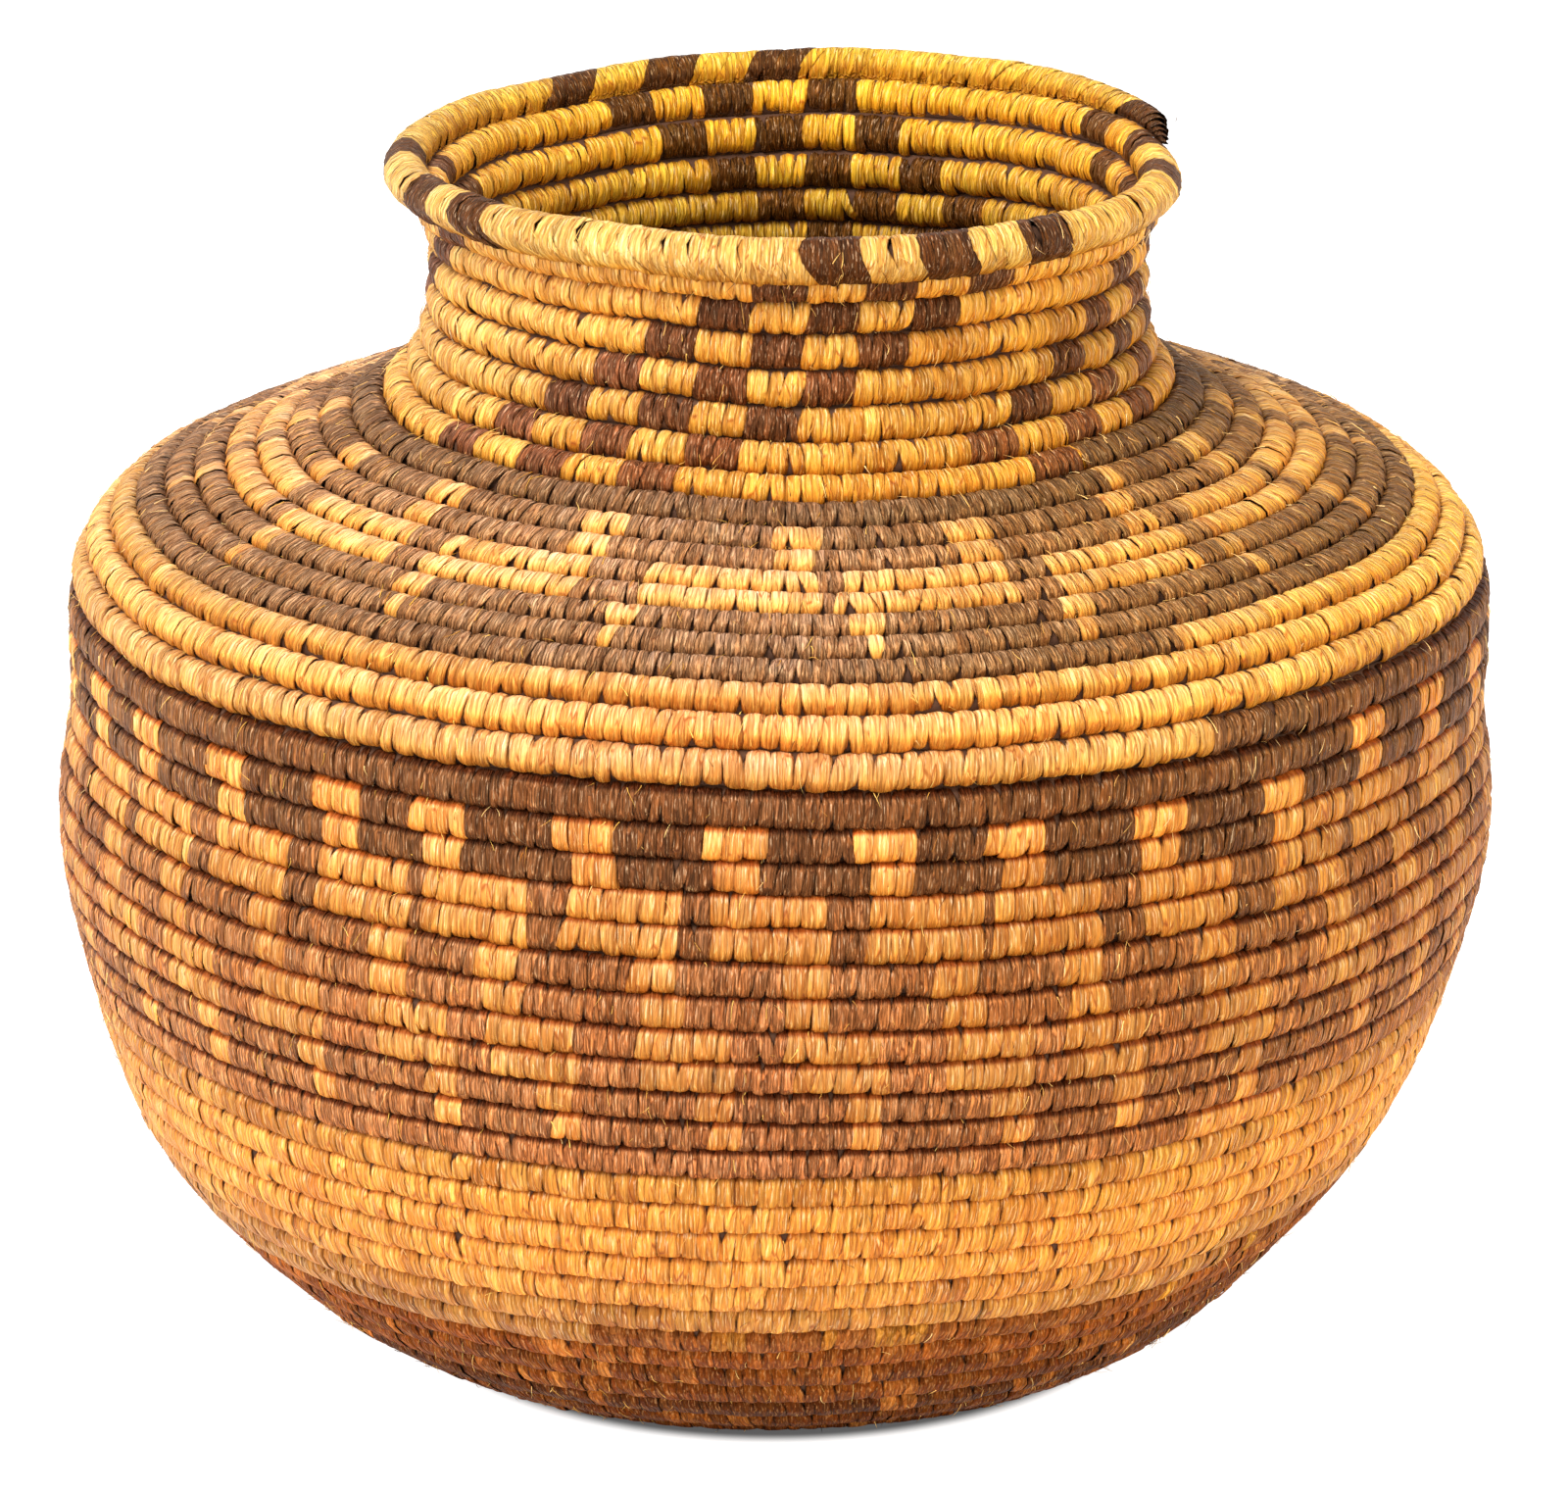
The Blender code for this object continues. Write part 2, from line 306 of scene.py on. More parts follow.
def splintMaterial(name):
    # a split stem. Long narrow cells along the stitch are its strands, each with its own tone and a
    # dark line beside it, which is painted shade in the groove between strands; finer noise along the
    # stitch is the fibres, and its peaks are pale flecks, partly pale fibres and partly painted glints.
    # Shade is painted at the stitch's edges, in the crease between courses and on its lower side, where
    # less light falls, and the stitch is painted creamier towards its top, where the light falls.
    look = {key: values[splintNames.index(name)] for key, values in splintLooks.items()}
    made, tree, shader = newMaterial(name)
    tint = node(tree, "VertexColor", layer_name="splintTint")
    grain = node(tree, "UVMap", uv_map="splintGrain").outputs[0]
    placeOn = node(tree, "UVMap", uv_map="splintPlace").outputs[0]

    def math(operation, *values):
        return node(tree, "Math", dict(enumerate(values)), operation=operation).outputs[0]

    def ranged(source, fromLow, fromHigh, low, high, smooth=False):
        span = {"Value": source, "From Min": fromLow, "From Max": fromHigh, "To Min": low, "To Max": high}
        kind = "SMOOTHSTEP" if smooth else "LINEAR"
        return node(tree, "MapRange", span, interpolation_type=kind).outputs[0]

    def scaled(source, scale):
        return node(tree, "VectorMath", {0: source, 1: scale}, operation="MULTIPLY").outputs[0]

    def mixed(share, first, second):
        return node(tree, "Mix", {0: share, 2: first, 3: second}).outputs[0]

    # strands wander a little from side to side on their way
    slow = scaled(grain, shared["slowGrain"])
    bend = node(tree, "TexNoise", {"Scale": 1.0, "Vector": slow}, noise_dimensions="2D")
    shift = scaled(bend.outputs["Color"], (0, look["wanderMm"], 0))
    wander = node(tree, "VectorMath", {0: grain, 1: shift}, operation="ADD").outputs[0]
    cells = {"Scale": 1.0, "Vector": scaled(wander, (look["alongPerMm"], look["strandsPerMm"], 0))}
    cell, border = (
        node(tree, "TexVoronoi", cells, voronoi_dimensions="2D", feature=feature)
        for feature in ("F1", "DISTANCE_TO_EDGE"))
    fromEdge = border.outputs["Distance"]
    strandChance, leanChance, _ = node(tree, "SeparateColor", {0: cell.outputs["Color"]}).outputs
    strandTone = ranged(strandChance, 0, 1, *look["strandTones"])
    line = ranged(fromEdge, 0, look["lineReach"], look["strandLine"], 1, smooth=True)
    # the dark lines beside the strands, painted shade in the grooves between them, come and go
    line = mixed(ranged(bend.outputs["Fac"], *shared["linesFade"]), line, 1.0)

    fibreScale = scaled(wander, (look["fibreAlongPerMm"], look["fibresPerMm"], 0))
    fine = node(
        tree, "TexNoise", {"Scale": 1.0, "Detail": 3.0, "Roughness": 0.6, "Vector": fibreScale},
        noise_dimensions="2D").outputs["Fac"]
    fibreTone = ranged(fine, *shared["fibreRange"], *look["fibreTones"])
    # pale flecks at the fibres' peaks: partly pale fibres and partly painted glints
    fleck = ranged(fine, look["fleckFrom"], look["fleckFrom"] + shared["fleckReach"], 0, look["fleckShare"])

    # place is -1 to 1 from the stitch's lower crease to its upper one, and -1 to 1 across it
    upward, sideways, _ = node(tree, "SeparateXYZ", {0: placeOn}).outputs
    # painted shade: darker at the stitch's ragged edges, where it meets the next one, in the crease under
    # the course above and on its lower side, where less light falls
    across = math("ABSOLUTE", sideways)
    ragged = math("MULTIPLY_ADD", fine, shared["ragged"], across)
    edge = ranged(ragged, *shared["edge"], 1, look["edgeShade"], smooth=True)
    edge = mixed(tint.outputs["Alpha"], 1.0, edge)
    under = ranged(upward, *shared["crease"], 1, look["creaseShade"], smooth=True)
    lip = ranged(upward, *shared["lip"], look["lipShade"], 1, smooth=True)

    stains = {"Scale": 60.0, "Detail": 5.0, "Roughness": 0.65}
    stains["Vector"] = node(tree, "TexCoord").outputs["Object"]
    stain = node(tree, "TexNoise", stains).outputs["Fac"]
    stained = ranged(stain, *shared["stained"])
    tone = math("MULTIPLY", math("MULTIPLY", strandTone, fibreTone), stained)
    # all the painted shade together: the strand lines, the edges, the crease and the lower side
    shade = math("MULTIPLY", math("MULTIPLY", line, edge), math("MULTIPLY", under, lip))

    # darker strands are more orange and paler ones creamier: each channel has its own exponent.
    # Each strand also leans to orange or to grey by chance
    hue = look["strandHue"]
    blue = shared["blueLean"] * hue
    leans = ranged(leanChance, 0, 1, 1 - hue, 1 + hue), 1.0, ranged(leanChance, 0, 1, 1 + blue, 1 - blue)
    channels = [
        math("MULTIPLY", math("POWER", tone, exponent), lean)
        for exponent, lean in zip(look["toneBend"], leans)]
    bent = node(tree, "CombineXYZ", dict(enumerate(channels))).outputs[0]
    flecked = mixColours(tree, fleck, scaled(tint.outputs["Color"], bent), look["fleck"])
    deep = mixColours(tree, shade, look["shadowTint"], (1, 1, 1))
    colour = mixColours(tree, 1.0, flecked, deep, "MULTIPLY")
    # painted light and shade: from its lower side to its upper one a stitch goes from orange to cream,
    # paler at the top where the light falls and more orange below, where less of it falls
    height = ranged(upward, *shared["orangeToCream"], 0, 1, smooth=True)
    paintedLightAndShade = mixColours(tree, height, look["paintedShadeTint"], look["paintedLightTint"])

    # relief of fibres, rounded strands of chance heights and a dome from edge to edge, with |v|^2.4
    rounded = ranged(fromEdge, 0, shared["strandRound"], 0, 1, smooth=True)
    relief = math("ADD", math("MULTIPLY", fine, shared["fibreRelief"]), rounded)
    relief = math("ADD", relief, math("MULTIPLY", leanChance, shared["strandHeights"]))
    dome = math("MULTIPLY", math("POWER", across, 2.4), -look["domeMm"] / look["bumpMm"])
    relief = math("ADD", relief, dome)
    bumps = {"Strength": 1.0, "Distance": look["bumpMm"] / 1000, "Height": relief}
    fill(tree, shader, {
        "Base Color": mixColours(tree, 1.0, colour, paintedLightAndShade, "MULTIPLY"),
        "Normal": node(tree, "Bump", bumps).outputs[0],
        "Roughness": look["roughness"],
        "Specular IOR Level": look["sheen"],
        "Specular Tint": (*look["sheenTint"], 1),
    })
    return made


def noiseRamp(tree, scale, low, high):
    # from one colour to the other by a noise on the object
    where = node(tree, "TexCoord").outputs["Object"]
    noise = node(tree, "TexNoise", {"Scale": scale, "Vector": where}).outputs["Fac"]
    blend = node(tree, "ValToRGB", {"Fac": noise})
    for stop, colour in zip(blend.color_ramp.elements, (low, high)):
        stop.color = (*colour, 1)
    return blend.outputs[0]


bundleLook = {"mottle": 900.0, "low": (46, 25, 10), "high": (92, 52, 22), "roughness": 0.85}


def foundationMaterial():
    # the bundle of fine stems inside the coil, with a fine noise. It is dark partly as its own colour and
    # partly as painted shade in the gaps between stitches, where it shows
    made, tree, shader = newMaterial("foundation")
    low, high = (linearColour(*bundleLook[end]) for end in ("low", "high"))
    mottle = noiseRamp(tree, bundleLook["mottle"], low, high)
    fill(tree, shader, {"Base Color": mottle, "Roughness": bundleLook["roughness"]})
    return made


materials = {name: splintMaterial(name) for name in splintNames}
materials["foundation"] = foundationMaterial()
print("materials ready")

# the pattern, as true or false for dark splints

# the woven figures in degrees round the basket: how many, where they lie at the front, how they stray
bellyPattern = {
    "repeats": 31,
    "firstCentre": -3.5,
    "frontNudges": {-4: 0.7, -3: 1.4, -2: -0.3, -1: 0.3, 0: 0.0, 1: 0.2, 2: -1.4, 3: -0.6, 4: 1.1},
    "hiddenNudge": (0.8, 5.0),
    "uneven": (0.25, 2.3, 1.7),
    "spread": (0.4, 3.4, 0.0),
    # tan blocks from and to, in degrees from a repeat's centre, for courses from the band's top down
    "blocks": (
        None, (-2.5, 2.4), (-1.2, 2.3), (-1.4, 7.5), (-1.5, 7.6), (3.9, 7.4), (4.5, 7.9),
        (4.5, 11.7), (5.0, 12.2), (9.0, 11.8), (9.9, 12.3), None,
    ),
}
shoulderPattern = {
    "ends": (-68.5, -45.4, -21.7, 3.1, 24.0, 47.4, 70.5),
    "repeats": 16,
    "tailNudges": (0.0, 0.8, 0.0, -2.0, 1.2, -1.5, -1.4),
    "tailsFrom": 5,
    "uneven": (0.35, 2.9, 1.3),
    "spread": (2.6, 0.0, -0.5),
    "blocks": (
        None, (-4.8, 1.4), (-4.4, 0.3), (-18.3, 0.0), (-18.9, 0.1), (-19.0, -15.6), (-18.3, -16.6), None,
    ),
}
neckPattern = {
    "rimCentre": 24.5,             # azimuth of the front band's middle check on the rim
    "shiftPerCourse": -8.75,
    "bandsFromFront": (0.0, -97.0, -185.6, -273.0),
    "spread": (1.6, 0.0, 0.0),
    "checks": (-17.3, 0.0, 17.0),
    "halfCheck": 4.1,
    # single checks that lie elsewhere, in degrees, or are left out: (courses down, band, check)
    "moved": {(0, 1, 1): 5.0, (0, 1, 2): 2.9},
    "leftOut": {(0, 3, 2), (8, 3, 0)},
}
# the brown foot's upper edge, in turns, and the share of its dark stitches that are worn pale
footEdge = {
    "turn": 6.5, "slant": 0.75, "lowestAt": -80.0, "uneven": 0.10, "waves": 23,
    "worn": 0.14, "wornWaves": (1.3, 9, 2.1),
}


def footDark(turn):
    # brown up to a line that is lowest at one azimuth: turn - slant x cosine of the angle from there
    azimuth = np.radians(coil["stepLine"] - 360 * turn)
    slanting = footEdge["turn"] - footEdge["slant"] * np.cos(azimuth - np.radians(footEdge["lowestAt"]))
    return turn < slanting + footEdge["uneven"] * np.sin(azimuth * footEdge["waves"])


def spreadAzimuth(azimuth, spread):
    # the pattern's azimuths were set out on the coil's middle, inside the stitches' crowns, so they
    # widen towards the sides: azimuth + a x sine + b x sine cubed + c
    sine = np.sin(np.radians(azimuth))
    return azimuth + spread[0] * sine + spread[1] * sine ** 3 + spread[2]


def inBlocks(azimuth, centres, block):
    # true where an azimuth lies in one of the blocks, going round the basket once
    away = (azimuth[:, None] - np.asarray(centres)[None, :] - block[0]) % 360
    return (away < block[1] - block[0]).any(axis=1)


def unevenness(number, fromTop, most, perRepeat, perCourse):
    # how far off a repeat lies: most x sine of its number and its course's, each times a step
    return most * np.sin(number * perRepeat + fromTop * perCourse)


def bellyDark(fromTop, azimuth):
    block = bellyPattern["blocks"][fromTop]
    if block is None:
        return np.ones(azimuth.shape, bool)
    spacing = 360 / bellyPattern["repeats"]
    number = np.arange(bellyPattern["repeats"]) - bellyPattern["repeats"] // 2
    most, step = bellyPattern["hiddenNudge"]
    nudge = [bellyPattern["frontNudges"].get(n, most * np.sin(step * n)) for n in number]
    uneven = unevenness(number, fromTop, *bellyPattern["uneven"])
    azimuth = spreadAzimuth(azimuth, bellyPattern["spread"])
    return ~inBlocks(azimuth, bellyPattern["firstCentre"] + number * spacing + nudge + uneven, block)


def shoulderDark(fromTop, azimuth):
    block = shoulderPattern["blocks"][fromTop]
    if block is None:
        return np.ones(azimuth.shape, bool)
    ends = shoulderPattern["ends"]
    hidden = shoulderPattern["repeats"] - len(ends)
    spacing = (360 - ends[-1] + ends[0]) / (hidden + 1)
    centres = np.array(ends + tuple(ends[-1] + spacing * (n + 1) for n in range(hidden)))
    uneven = unevenness(np.arange(len(centres)), fromTop, *shoulderPattern["uneven"])
    if fromTop >= shoulderPattern["tailsFrom"]:
        uneven[:len(ends)] += shoulderPattern["tailNudges"]
    azimuth = spreadAzimuth(azimuth, shoulderPattern["spread"])
    return ~inBlocks(azimuth, centres + uneven, block)


def neckDark(turn):
    # along the climbing coil the diagonal bands follow each other without a break: their checks lie
    # at angles that are counted along the coil, so the step line doesn't show in them
    along = spreadAzimuth(coil["stepLine"] - 360 * turn, neckPattern["spread"])
    dark = np.zeros(turn.shape, bool)
    lowest = sideTurns - bands["rim_course"][0] - bands["neck_course"][0]
    for course in range(lowest - 1, sideTurns):
        downFromRim = sideTurns - 1 - course
        front = neckPattern["rimCentre"] + neckPattern["shiftPerCourse"] * downFromRim - 360 * course
        for band, bandPlace in enumerate(neckPattern["bandsFromFront"]):
            for check, checkPlace in enumerate(neckPattern["checks"]):
                which = (downFromRim, band, check)
                if which not in neckPattern["leftOut"]:
                    middle = front + bandPlace + checkPlace + neckPattern["moved"].get(which, 0.0)
                    dark |= np.abs(along - middle) < neckPattern["halfCheck"]
    return dark | (turn > sideTurns - 1 + rim["turns"] - rim["endDark"])


# colours of the splints, band by band

palette = {
    "rim_course": ((226, 168, 76), (90, 46, 16)),
    "neck_course": ((222, 154, 58), (111, 62, 32)),
    "shoulder_course": ((246, 188, 120), (168, 122, 87)),
    "pale_band_course": ((226, 158, 88), (125, 75, 47)),
    "belly_course": ((204, 133, 61), (165, 99, 54)),
    "lower_course": ((232, 150, 54), (148, 80, 30)),
    "foot_course": ((172, 96, 34), (124, 61, 14)),
}
# brightness of single courses against their band, from the band's top down: tan, then dark. It is
# partly the courses' own colour and partly painted light and shade that evens out how much lamp light
# each course gets, as in the neck's top course, painted brighter in the rim's shade
courseTones = {
    "neck_course": ((1.57, 1.33, 1.12, 0.93, 0.85, 0.87, 0.96), (0.9, 0.86, 0.98, 1.28, 0.88, 1.4, 1.4)),
    "shoulder_course": (
        (1, 1, 0.92, 1.04, 1.02, 0.9, 1, 1),
        (0.63, 0.92, 1.17, 1.25, 1.35, 1.03, 0.97, 0.87),
    ),
    "pale_band_course": ((0.9, 1.28, 0.94), (1, 1, 0.9)),
    "belly_course": (
        (1, 1.33, 1.24, 1.04, 0.9, 0.95, 0.96, 0.96, 0.92, 1.02, 1.3, 1.25),
        (0.55, 0.51, 0.48, 0.86, 0.67, 0.94, 1.12, 1.31, 1.4, 1.05, 1.12, 1.39),
    ),
    "lower_course": ((0.82, 1.08, 1.16, 1.58, 1.0, 0.74, 0.63), (1, 1, 1, 1, 1, 0.9, 1)),
    "foot_course": ((1, 0.98, 0.94, 0.9, 0.86, 0.84), (1.32, 1.0, 1.0, 0.54, 0.9, 1.1)),
}

# how the stitches lie in each band. Widths are in millimetres, shares are of the coil's thickness:
# widths of tan and dark stitches, how far they reach out, up, and down over the course below, the
# section's exponents above and below the middle, how deep a stitch's edges sink, how its ends notch,
# its lean and the lean's spread, and the sines of the ring angle at which the painted shade in the
# crease above and on the lower side is darkest
styleNames = (
    "tan", "dark", "out", "up", "down", "round", "sink", "notch", "lean", "leanSpread", "creases")
styleRows = {
    "rim_course": (3.0, 2.6, 0.58, 0.52, 0.74, (2.2, 3.0), 0.08, 0.03, -2.4, 0.45, (2.0, 0.62)),
    "neck_course": (3.0, 2.6, 0.53, 0.50, 0.57, (2.1, 2.2), 0.10, 0.09, 0.25, 0.45, (1.1, 1.05)),
    "shoulder_course": (3.1, 2.5, 0.53, 0.51, 0.62, (2.2, 3.1), 0.08, 0.05, 0.2, 0.6, (0.98, 1.0)),
    "pale_band_course": (4.0, 3.0, 0.54, 0.55, 0.57, (2.5, 2.5), 0.12, 0.10, 0.25, 0.5, (1.2, 0.72)),
    "belly_course": (3.5, 2.6, 0.52, 0.50, 0.65, (2.3, 3.2), 0.09, 0.05, 0.25, 0.5, (0.69, 0.95)),
    "lower_course": (3.8, 3.4, 0.51, 0.50, 0.68, (2.3, 3.0), 0.08, 0.06, 0.1, 0.45, (0.98, 1.5)),
    "foot_course": (3.4, 3.2, 0.50, 0.50, 0.64, (2.4, 3.0), 0.05, 0.08, 0.0, 0.5, (1.1, 1.4)),
}
stitchStyles = {band: dict(zip(styleNames, row)) for band, row in styleRows.items()}
stitchStyles["rim_course"].update({"overlap": 1.45, "downInside": 0.55})
stitchStyles["lower_course"]["toneSpread"] = 0.14
stitchStyles["foot_course"]["toneSpread"] = 0.15
# wraps that lean the other way over the rim, thinner and a little proud of the others
crossingStyle = {"lean": 2.2, "leanSpread": 0.7, "out": 0.60, "up": 0.54, "down": 0.86, "sink": 0.25}
stitchChance = {
    "edge": 0.26,                  # how far a stitch's edges stray, as a share of its width
    "overlap": 1.12,
    "endTaper": 0.22,              # how much narrower a stitch is in the crease
    "liftSpread": 0.026, "lengthSpread": 0.036,
    "toneSpread": 0.11, "hueSpread": 0.022,
    "wavyMm": 0.12, "wavyStarts": 9,
    "upSpread": 0.01, "twist": 0.02,
    "runEnds": 0.15,               # how much less a stitch strays where the colour changes
    # how plainly a stitch's painted edge shade shows, from and to
    "edgeShadeShows": (0.25, 1),
}
# the coil ends on its last turn, and its tip thins out and sinks onto the course below.
# Its heavy wrapping starts where no course lies above any more
rim = {
    "turns": 0.85,
    "taper": 0.13,
    "tipShare": 0.62,
    "closed": 0.06,                # and its share where it closes
    "tuck": 0.03,                  # the last of the taper, where the end closes to a point
    "endDark": 0.048,              # the end's last wraps are dark
    "crossings": ((-20.0, 21.0, 5), (50.0, 66.0, 3)),    # from and to azimuth, and how many
    "crossingHalfWidth": (0.0007, 0.0012),
}
# angles round the coil at which a strip has its rings, 0 outward and 90 up the wall
outerRings = np.radians((-90, -66, -40, -14, 14, 40, 66, 90, 148, 212))
evenRings = np.radians(np.arange(-90, 270, 30))
acrossStrip = np.array((-1.0, -0.68, 0.0, 0.68, 1.0))


def tipShare(turn):
    # the coil's end thins out: its size as a share, from full to the tip's over the taper, and from
    # there to nearly nothing over the tuck
    end = sideTurns - 1 + rim["turns"]
    keys = (end - rim["taper"], end - rim["tuck"], end)
    return np.interp(turn, keys, (1, rim["tipShare"], rim["closed"]))


def power(value, exponent):
    return np.sign(value) * np.abs(value) ** exponent


def wrapStitches(turn, halfWidth, rings, style):
    # one closed strip for each stitch. round: a rounded box section about the coil's middle line,
    # out = reach x cos(angle)^(2/round), up = reach x sin(angle)^(2/round), fuller below than above.
    # across: the crown sinks to the strip's edges with |v|^2.6 and the ends round off with v^2.
    # The strip leans, wavers and narrows towards the creases
    count = len(turn)
    angle = rings[None, :, None]
    v = acrossStrip[None, None, :]

    def each(spread):
        return chance.normal(0, spread, count)[:, None, None]

    sine, cosine = np.sin(angle), np.cos(angle)
    radius, _, _, thickness = (value[:, None, None] for value in coilAt(turn))
    above = coilAt(turn + 0.5)[3][:, None, None]
    below = coilAt(turn - 0.5)[3][:, None, None]
    taper = 1 - stitchChance["endTaper"] * np.abs(sine) ** 5
    leaning = (style["lean"] / 1000 + each(style["leanSpread"] / 1000)) * sine
    wavy = stitchChance["wavyMm"] / 1000 * np.sin(2 * angle + stitchChance["wavyStarts"] * each(1))
    along = halfWidth[:, None, None] * v * taper + leaning + wavy
    turns = turn[:, None, None] - along / (fullTurn * radius)
    crown = 1 - style["sink"] * np.abs(v) ** 2.6 + each(stitchChance["liftSpread"])
    crown = crown + stitchChance["twist"] * v * each(1)
    exponent = 2 / np.where(sine > 0, style["round"][0], style["round"][1])
    out = style["out"] * thickness * crown * power(cosine, exponent)
    down = np.where(cosine < -0.01, style.get("downInside", style["down"]), style["down"])
    reach = np.where(
        sine > 0, (style["up"] + each(stitchChance["upSpread"])) * above,
        (down + each(stitchChance["lengthSpread"])) * below)
    up = reach * power(sine, exponent) * (1 - style["notch"] * v ** 2)
    share = tipShare(turn)[:, None, None]
    out, up = out * share, up * share - (1 - share) * 0.5 * thickness
    points = onBasket(turns, out + 0 * turns, up + 0 * turns)
    return points, along + 0 * turns


# how the colour drifts round the basket, as red, green and blue shares: painted light and shade.
# It is paler and creamier on the left, where more light falls, more golden on the right, where less
# falls, and yellower inside at the back, where shade falls
usualDrift = {"left": (1.02, 1.04, 1.08), "right": (1.0, 1.0, 0.58)}
drifts = {
    "rim_course": {"left": (1.0, 1.12, 1.2), "right": (1.0, 1.1, 0.85), "back": (0.96, 1.10, 0.44)},
    "neck_course": {"left": (1.2, 1.42, 2.3), "right": (1.05, 1.06, 0.72), "back": (0.92, 1.06, 0.42)},
    "shoulder_course": {"left": (1.0, 0.95, 0.78), "right": (0.74, 0.64, 0.27)},
    "pale_band_course": {"left": (1.0, 1.12, 0.95), "right": (1.25, 1.45, 0.70)},
    "belly_course": {"left": (1.25, 1.38, 1.25), "right": (1.02, 0.99, 0.50)},
    "foot_course": {"left": (1.25, 1.2, 1.05), "right": (1.1, 1.12, 0.9)},
}
# slow and fast changes of tone round the basket, how far green and blue follow the chance hue, and
# the darkest and brightest that a channel may be
toneChange = {"slow": (0.05, 3, 9), "fast": (0.04, 11), "green": 0.3, "blue": 1.6, "ends": (0.003, 0.92)}
toneBend = (0.7, 1.0, 1.3)            # a brighter stitch is creamier and a darker one more orange


def driftOf(band, side):
    return np.array(drifts.get(band, usualDrift).get(side, (1.0, 1.0, 1.0)))


def stitchTints(band, tanColour, darkColour, isDark, azimuth, tone):
    # each stitch's tint: its class colour times its course's tone, times chance, times slow changes
    # round the basket, and times the painted light and shade of the sides
    base = np.where(isDark[:, None], linearColour(*darkColour), linearColour(*tanColour))
    count = len(isDark)
    around = np.radians(azimuth)
    spread = stitchStyles[band].get("toneSpread", stitchChance["toneSpread"])
    bright = np.exp(chance.normal(0, spread, count))
    slow, slowWaves, shift = toneChange["slow"]
    fast, fastWaves = toneChange["fast"]
    bright *= 1 + slow * np.sin(around * slowWaves + tone * shift) + fast * np.sin(around * fastWaves)
    hue = chance.normal(0, stitchChance["hueSpread"], count)
    tint = base * tone[:, None] * bright[:, None] ** np.array(toneBend)
    tint[:, 1] *= 1 + hue * toneChange["green"]
    tint[:, 2] *= 1 + hue * toneChange["blue"]
    # painted light and shade of the sides: they count as far round as the front is seen, and fade out
    # behind
    sideways = np.sin(around) * np.clip(1 + 1.5 * np.cos(around), 0, 1)
    for side, share in (("left", -sideways), ("right", sideways)):
        tint *= driftOf(band, side) ** np.clip(share, 0, 1)[:, None]
    least, most = toneChange["ends"]
    tint *= np.minimum(1, most / tint.max(axis=1))[:, None]
    return np.clip(tint, least, 1.0)


def insideShadeTints(band, azimuth, rings):
    # painted shade on the inner side of the back, which is yellower: a tint for each stitch and each
    # of its rings, by how far round the back it lies and by 0.6 - 1.5 x cosine of the ring's angle
    behind = np.clip(-np.cos(np.radians(azimuth)), 0, 1)[:, None]
    inside = np.clip(0.6 - 1.5 * np.cos(rings), 0, 1)
    return driftOf(band, "back") ** (behind * inside)[..., None]


grainPlaces = 900.0                # how far apart, in millimetres, two strips may lie in the grain


def splintPiece(name, slot, nodes, points, along, rings, tints, thickness, creases):
    # puts many strips into one mesh. Grain coordinates are in millimetres, each strip at its own
    # place in the grain; place coordinates say how near a point is to the crease and to the edge, for
    # the painted shade and light. The tint's fourth value is how plainly this stitch's painted edge
    # shade shows
    count, around, across, _ = points.shape
    index = np.arange(count * around * across).reshape(count, around, across)
    faces = closedStrips(index)
    grain = np.stack((
        np.broadcast_to(rings[None, :, None] * thickness / 2 * 1000, along.shape)
        + chance.uniform(0, grainPlaces, count)[:, None, None],
        along * 1000 + chance.uniform(0, grainPlaces, count)[:, None, None],
    ), axis=-1)
    sine = np.sin(rings)
    towardsCrease = sine / np.where(sine > 0, creases[0], creases[1])
    place = np.stack(np.broadcast_arrays(
        towardsCrease[None, :, None], acrossStrip[None, None, :] + 0 * along), axis=-1)
    colour = np.empty((count, around, across, 4))
    colour[..., :3] = tints.reshape(count, -1, 1, 3)
    colour[..., 3] = chance.uniform(*stitchChance["edgeShadeShows"], count)[:, None, None]
    piece = makeMesh(
        name, points.reshape(-1, 3), faces, materials[slot],
        uvs={"splintGrain": grain.reshape(-1, 2), "splintPlace": place.reshape(-1, 2)},
        tint=colour.reshape(-1, 4))
    addToBasket(piece, slot, *nodes)


def addStrips(nodeName, label, darkSlot, isDark, points, along, rings, tints, thickness, creases):
    # the tan strips as one piece and the dark ones as another
    for word, slot, chosen in (("tan", "tan_splint", ~isDark), ("dark", darkSlot, isDark)):
        if chosen.any():
            splintPiece(
                f"{nodeName}_{word}_{label}", slot, [nodeName], points[chosen], along[chosen],
                rings, tints[chosen], thickness, creases)


def runEdges(dark, turns):
    # the turns at which the colour changes, with the ends of the stretch
    change = np.flatnonzero(dark[1:] != dark[:-1]) + 1
    return np.concatenate(([turns[0]], (turns[change - 1] + turns[change]) / 2, [turns[-1]]))


def stitchEdges(edges, widths, jitter):
    # a whole number of stitches fills each run of one colour, and the edges inside a run stray
    counts = np.maximum(1, np.round(np.diff(edges) / widths)).astype(int)
    total = np.concatenate(([0], np.cumsum(counts)))
    place = np.arange(total[-1] + 1)
    strays = chance.uniform(-jitter, jitter, len(place))
    strays[total] *= stitchChance["runEnds"]
    return np.interp(np.clip(place + strays, 0, total[-1]), total, edges)


# the lowest course of these bands still has the band below's one colour for its first degrees
darkBelow = {"belly_course": False, "pale_band_course": True, "shoulder_course": False}
lateStart = 10.0
patternSteps = 7200                # places a turn at which the pattern is read


